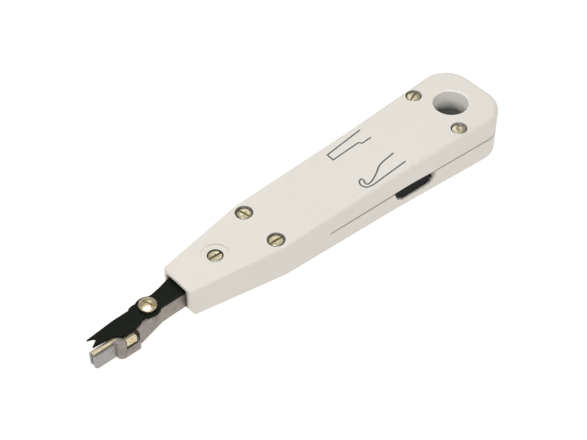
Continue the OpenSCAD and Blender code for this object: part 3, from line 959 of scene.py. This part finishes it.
@dataclass
class CasingScrews:
    """The five cheese-head screws of the grip, each with a slotted, slightly crowned head."""

    brass: bpy.types.Material
    head_r: float = 2.5
    head_h: float = 1.3
    thread_r: float = 1.25
    crown: float = 0.12
    edge: float = 0.22
    slot_w: float = 0.7
    slot_depth: float = 0.7
    pitch: float = 0.5
    turns: dict = field(default_factory=lambda: {
        "nose_screw": (-4.0,), "grip_screws": (-4.0, -76.0), "tail_screws": (49.0, 20.0),
    })

    def profile(self, top: float, end: float) -> list[tuple[float, float]]:
        """Outline of a screw from its crown to its point."""
        flat_r, shoulder = self.head_r - self.edge, top - self.crown
        line = [(0.0, top), (self.head_r * 0.55, top - self.crown * 0.3), (flat_r, shoulder)]
        for i in range(1, 5):
            turn = math.pi / 2 * i / 4
            line.append((flat_r + self.edge * math.sin(turn), shoulder - self.edge * (1 - math.cos(turn))))
        under = top - self.head_h
        line += [(self.head_r, under + 0.08), (self.head_r - 0.08, under), (self.thread_r, under)]
        z = end + 8 * self.pitch
        while z > end + self.pitch:
            line += [(self.thread_r, z), (self.thread_r - 0.2, z - self.pitch / 2)]
            z -= self.pitch
        return [*line, (self.thread_r - 0.25, end + 0.25), (self.thread_r - 0.5, end), (0.0, end)]

    def screw(self, x: float, y: float, top: float, end: float, turn: float) -> bmesh.types.BMesh:
        """One screw with its slot cut across the head."""
        bm = turned(self.profile(top, end), 56)
        bm = slotted(bm, self.head_r + 1, self.slot_w, top - self.slot_depth, top, 0.07)
        bm.transform(Matrix.Translation((x, y, 0)) @ Matrix.Rotation(math.radians(turn), 4, "Z"))
        return bm

    def build(self) -> None:
        """Build the screws of all three nodes."""
        for node, turns in self.turns.items():
            low, high = box_mm(node)
            ys = [low.y + self.head_r, high.y - self.head_r][: len(turns)]
            x = (low.x + high.x) / 2
            screws = [self.screw(x, y, high.z, low.z, turn) for y, turn in zip(ys, turns)]
            piece(f"{node}_turned", merged(screws), self.brass, Seat(Body.HANDLE, "screw_brass", (node,)))


# --------------------------------------------------------------------------- the head


def softened(node: str, width: float, least: float, shortest: float) -> bmesh.types.BMesh:
    """A copy of a CAD node with its longer edges rounded as far as its shortest edges let them be.

    The overlap clamp holds the rounding back for the whole piece where any short edge meets it. The fork and
    the sensor get the full width, and the cast block, the hook and the spudger only a small share of it.

    Args:
        node: The CAD node.
        width: Width of the rounding.
        least: Smallest angle that counts as an edge, in degrees.
        shortest: Edges below this length stay sharp.

    Returns:
        The rounded copy.
    """
    bm = copied(node)
    soften(bm, corners(bm, least, lambda e: e.calc_length() > shortest), width)
    return bm


@dataclass
class Head:
    """The sliding head: zinc block, wire fork, sensor bar and their small parts."""

    zinc: bpy.types.Material
    fork_steel: bpy.types.Material
    brass: bpy.types.Material
    plain_brass: bpy.types.Material
    steel: bpy.types.Material

    def build(self) -> None:
        """Build the block, the fork and the sensor, and dress the hidden parts."""
        block = softened("head_block", 0.22, 30, 0.5)
        piece("cast_block", block, self.zinc, Seat(Body.HEAD, "cast_zinc", ("head_block",)))
        fork = softened("insertion_fork", 0.08, 30, 0.5)
        piece("wire_fork", fork, self.fork_steel, Seat(Body.HEAD, "fork_steel", ("insertion_fork",)))
        sensor = softened("wire_sensor", 0.07, 30, 0.5)
        piece("sensor_strip", sensor, self.brass, Seat(Body.SENSOR, "sensor_brass", ("wire_sensor",)))
        self.rivet()
        for node in ("fork_pin", "spring_rod", "pivot_washer"):
            dress(node, self.steel)
        for node in ("pivot_nut", "thrust_washer", "blade_spring_pin"):
            dress(node, self.plain_brass)

    def rivet(self) -> None:
        """The domed rivet that holds the sensor's plate."""
        low, high = box_mm("sensor_rivet")
        middle = (low + high) / 2
        head_r, head_h, shank_r, end = (high.x - low.x) / 2, 0.2, 0.5, low.y - high.y
        bm = turned([(0.0, 0.0), (head_r * 0.5, -0.03), (head_r * 0.85, -0.1), (head_r, -head_h),
                     (shank_r, -head_h), (shank_r, end), (0.0, end)], 32)
        bm.transform(Matrix.Translation((middle.x, low.y, middle.z)) @ Matrix.Rotation(math.pi / 2, 4, "X"))
        seat = Seat(Body.SENSOR, "sensor_brass", ("sensor_rivet",))
        piece("sensor_rivet_domed", bm, self.plain_brass, seat)


@dataclass
class Scissors:
    """The scissor blade with its cam follower, and the big shouldered screw it turns on."""

    black: bpy.types.Material
    brass: bpy.types.Material
    steel: bpy.types.Material
    head_r: float = 3.1
    head_h: float = 1.75
    dome_r: float = 6.2
    slot_w: float = 0.7
    slot_depth: float = 0.85
    slot_turn: float = -67.0
    shoulder_r: float = 2.0
    shank_r: float = 1.5
    block_top: float = 3.15

    def blade(self) -> None:
        """The blade. The overlap clamp leaves its guard's band and its rims almost square."""
        bm = copied("scissor_blade")
        low, high = box_mm("scissor_blade")
        guard = corners(bm, 40, lambda e: all(v.co.z > high.z - 0.01 and v.co.y < -5.6 for v in e.verts))
        soften(bm, guard, 0.45, 1)
        rims = corners(bm, 50, lambda e: all(v.co.z > high.z - 0.01 for v in e.verts) and e.calc_length() > 0.4)
        soften(bm, rims, 0.07, 2)
        piece("black_blade", bm, self.black, Seat(Body.SCISSORS, "black_steel", ("scissor_blade",)))
        dress("cam_follower", self.steel)

    def screw(self) -> None:
        """The domed pivot screw."""
        low, high = box_mm("pivot_screw")
        middle = (low + high) / 2
        top, under = high.z, high.z - self.head_h

        def crown(radius: float) -> float:
            """Height of the dome at a radius."""
            return top + math.sqrt(self.dome_r**2 - radius**2) - self.dome_r

        rim = crown(self.head_r)
        line = [(r, crown(r)) for r in (self.head_r * 0.94 * i / 8 for i in range(9))]
        line += [(self.head_r * 0.985, rim + 0.02), (self.head_r, rim - 0.12), (self.head_r, under + 0.1),
                 (self.head_r - 0.1, under), (self.shoulder_r, under), (self.shoulder_r, self.block_top),
                 (self.shank_r, self.block_top), (self.shank_r, low.z), (0.0, low.z)]
        bm = slotted(turned(line, 72), 4, self.slot_w, top - self.slot_depth, top, 0.08)
        turn = Matrix.Rotation(math.radians(self.slot_turn), 4, "Z")
        bm.transform(Matrix.Translation((middle.x, middle.y, 0)) @ turn)
        piece("pivot_screw_domed", bm, self.brass, Seat(Body.HEAD, "pivot_brass", ("pivot_screw",)))

    def build(self) -> None:
        """Build the blade and its screw."""
        self.blade()
        self.screw()


# --------------------------------------------------------------------------- springs and tools


@dataclass
class Springs:
    """The coil springs and the leaf that opens the blade, all built at rest; in the tool the coils shorten as
    the head and the sensor slide.
    """

    steel: bpy.types.Material
    stroke: float = 6.0
    sensor_travel: float = 1.2
    leaf_eye_r: float = 0.7
    leaf_parts: int = 8

    def coil(self, node: str, mid_r: float, wire_r: float, turns: int, sides: int = 10) -> bmesh.types.BMesh:
        """A coil of round wire along X that fills a CAD node's box."""
        low, high = box_mm(node)
        middle = (low + high) / 2
        bm = bmesh.new()
        ring = bmesh.ops.create_circle(bm, segments=sides, radius=wire_r)["verts"]
        first = Matrix.Translation((low.x + wire_r, middle.y, middle.z + mid_r))
        bm.transform(first @ Matrix.Rotation(math.pi / 2, 4, "X"))
        edges = list({e for v in ring for e in v.link_edges})
        steps = turns * 24
        advance = (high.x - low.x - 2 * wire_r) / steps
        bmesh.ops.spin(
            bm, geom=[*ring, *edges], cent=(0, middle.y, middle.z), axis=(1, 0, 0), dvec=(advance, 0, 0),
            angle=2 * math.pi * turns, steps=steps, use_merge=False,
        )
        bmesh.ops.holes_fill(bm, edges=[e for e in bm.edges if e.is_boundary])
        bmesh.ops.recalc_face_normals(bm, faces=bm.faces)
        return bm

    def leaf(self) -> None:
        """The leaf that opens the blade, cut into parts between its tip and its eye, with where it would bend
        towards the blade stored in its seat.
        """
        bm = copied("blade_spring")
        low, high = box_mm("blade_spring")
        pin_low, pin_high = box_mm("blade_spring_pin")
        eye = (pin_low + pin_high) / 2
        root_x = eye.x - self.leaf_eye_r
        for i in range(1, self.leaf_parts):
            slice_across(bm, (low.x + (root_x - low.x) * i / self.leaf_parts, 0, 0), (1, 0, 0))
        bend = Bend(Body.SCISSORS, Vector((root_x, eye.y, eye.z)), Vector((low.x, eye.y, eye.z)))
        piece("blade_leaf", bm, self.steel, Seat(Body.HEAD, "spring_steel", ("blade_spring",), bend))

    def build(self) -> None:
        """Build the springs at rest, each coil with a mesh of its own."""
        self.leaf()
        low, high = box_mm("main_spring")
        seat = Seat(Body.HANDLE, "spring_steel", ("main_spring",))
        spring = piece("main_coil", self.coil("main_spring", 3.7, 0.55, 11), self.steel, seat)
        length = high.x - low.x
        keep = (length - self.stroke) / length
        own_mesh(spring)
        low, high = box_mm("sensor_spring")
        seat = Seat(Body.HEAD, "spring_steel", ("sensor_spring",))
        spring = piece("sensor_coil", self.coil("sensor_spring", 0.5, 0.12, 6, 8), self.steel, seat)
        length = high.x - low.x
        keep = (length - self.sensor_travel) / length
        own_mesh(spring)


@dataclass
class FoldOutTools:
    """The hook and the spudger, stamped from plate with a bent thumb tab."""

    steel: bpy.types.Material

    def build(self) -> None:
        """Build both tools, with their edges barely softened."""
        for body in (Body.HOOK, Body.SPUDGER):
            node = f"{body.value}_tool"
            plate = softened(node, 0.08, 35, 0.6)
            piece(f"{body.value}_plate", plate, self.steel, Seat(body, "tool_steel", (node,)))


# --------------------------------------------------------------------------- the studio


@dataclass
class Studio:
    """A pale floor under the resting face, soft light and the camera."""

    eye: tuple[float, float, float] = (-0.3116, -0.2698, 0.3712)
    target: tuple[float, float, float] = (-0.0758, -0.0001, 0.0)
    lens: float = 92.0
    floor_half: float = 3.0

    def floor(self) -> None:
        """A wide pale floor that touches the grip's underside from end to end."""
        mount = next(m for m in frame["record"]["mounts"] if m["name"] == "rest_face")
        down = Vector(mount["axis"])
        bm = bmesh.new()
        bmesh.ops.create_grid(bm, x_segments=1, y_segments=1, size=self.floor_half)
        turn = (-down).to_track_quat("Z", "X").to_matrix().to_4x4()
        bm.transform(Matrix.Translation(Vector(mount["pos_m"]) + down * 0.00005) @ turn)
        floor = as_object("studio_floor", bm)
        g = Graph("Matt white backdrop paper")
        tone = g.ramp(g.noise(8 * MM, 2.0), 0.2, 0.8)
        paper = g.blend(tone, (0.17, 0.17, 0.17), (0.19, 0.19, 0.19))
        fixed = {"Roughness": 0.9, "Emission Color": (1.0, 0.99, 0.97, 1.0), "Emission Strength": 0.92}
        floor.data.materials.append(g.surface(fixed, {"Base Color": paper}))

    def aimed_from(self, place: Sequence[float]) -> Euler:
        """The turn that points a lamp or the camera from a place at the target."""
        return (Vector(self.target) - Vector(place)).to_track_quat("-Z", "Y").to_euler()

    def light(self, name: str, place: Sequence[float], size: float, watts: float,
              colour: Sequence[float]) -> None:
        """A square soft light that faces the tool."""
        lamp = bpy.data.lights.new(name, "AREA")
        lamp.shape, lamp.size, lamp.energy, lamp.color = "SQUARE", size, watts, colour
        made = bpy.data.objects.new(name, lamp)
        made.location = place
        made.rotation_euler = self.aimed_from(place)
        bpy.context.scene.collection.objects.link(made)

    def build(self) -> None:
        """Set the camera, the lights and the floor."""
        scene = bpy.context.scene
        camera = bpy.data.cameras.new("camera")
        camera.lens, camera.sensor_width = self.lens, 36.0
        camera.clip_start, camera.clip_end = 0.01, 20.0
        made = bpy.data.objects.new("camera", camera)
        made.location = self.eye
        made.rotation_euler = self.aimed_from(self.eye)
        scene.collection.objects.link(made)
        scene.camera = made
        world = bpy.data.worlds.new("soft white room")
        world.use_nodes = True
        sky = world.node_tree.nodes["Background"].inputs
        sky["Color"].default_value, sky["Strength"].default_value = (1.0, 0.99, 0.97, 1.0), 0.48
        scene.world = world
        scene.view_settings.view_transform = "Standard"
        self.light("overhead", (-0.25, 0.0, 0.92), 0.6, 5.0, (1.0, 1.0, 1.0))
        self.light("front", (-0.5, -0.42, 0.62), 0.4, 0.55, (1.0, 0.97, 0.93))
        self.light("warm_fill", (-0.35, -0.9, 0.25), 0.6, 0.55, (1.0, 0.74, 0.46))
        self.light("glint", (0.45, 0.62, 0.8), 0.26, 0.9, (1.0, 0.98, 0.94))
        self.floor()


def screw_wells() -> tuple[tuple[float, float, float], ...]:
    """The wells of the grip's five screws, as (x, y, radius) in millimetres."""
    wells = []
    for node, radius in (("nose_screw", 2.75), ("grip_screws", 3.15), ("tail_screws", 2.95)):
        low, high = box_mm(node)
        wells += [((low.x + high.x) / 2, y, radius) for y in {low.y + 2.5, high.y - 2.5}]
    return tuple(wells)


def main() -> None:
    """Build the tool's pieces in order and set the studio."""
    logging.basicConfig(level=logging.INFO, format="%(message)s")
    plastic = MouldedPlastic("Off-white moulded plastic", wells=screw_wells()).build()
    ink = PadPrint("Dark grey pad print").build()
    screw_brass = PlatedBrass("Pale plated brass").build()
    pivot_brass = PlatedBrass("Pale domed brass", (0.62, 0.55, 0.38)).build()
    plain_brass = PlatedBrass("Plain turned brass", (0.72, 0.58, 0.30), (0.35, 0.25, 0.1), 0.32).build()
    strip_brass = PlatedBrass("Polished brass strip", (0.68, 0.62, 0.44), (0.42, 0.36, 0.22), 0.3).build()
    bright = RolledSteel("Ground bright steel").build()
    wire = RolledSteel("Drawn spring wire", (0.5, 0.5, 0.5), (0.64, 0.64, 0.63)).build()
    fork_steel = RolledSteel("Satin fork steel", (0.33, 0.325, 0.32), (0.44, 0.43, 0.42), 1.0, 0.38).build()
    black = RolledSteel(
        "Blackened spring steel", (0.003, 0.005, 0.0025), (0.008, 0.011, 0.007), 0.0, 0.36, sheen=0.1,
    ).build()
    tool_black = RolledSteel(
        "Blackened tool plate", (0.003, 0.003, 0.003), (0.008, 0.008, 0.008), 0.0, 0.5, sheen=0.1,
    ).build()
    zinc = CastZinc("Tumbled zinc casting").build()

    Casing(plastic, ink).build()
    CasingScrews(screw_brass).build()
    Head(zinc, fork_steel, strip_brass, plain_brass, bright).build()
    Scissors(black, pivot_brass, bright).build()
    Springs(wire).build()
    FoldOutTools(tool_black).build()
    for node in ("threaded_inserts", "hook_bush", "spudger_bush"):
        dress(node, plain_brass)
    for node in ("guide_sleeve", "cam_plate", "spring_seat", "hook_washer", "spudger_washer"):
        dress(node, bright)
    Studio().build()


if __name__ == "__main__":
    main()
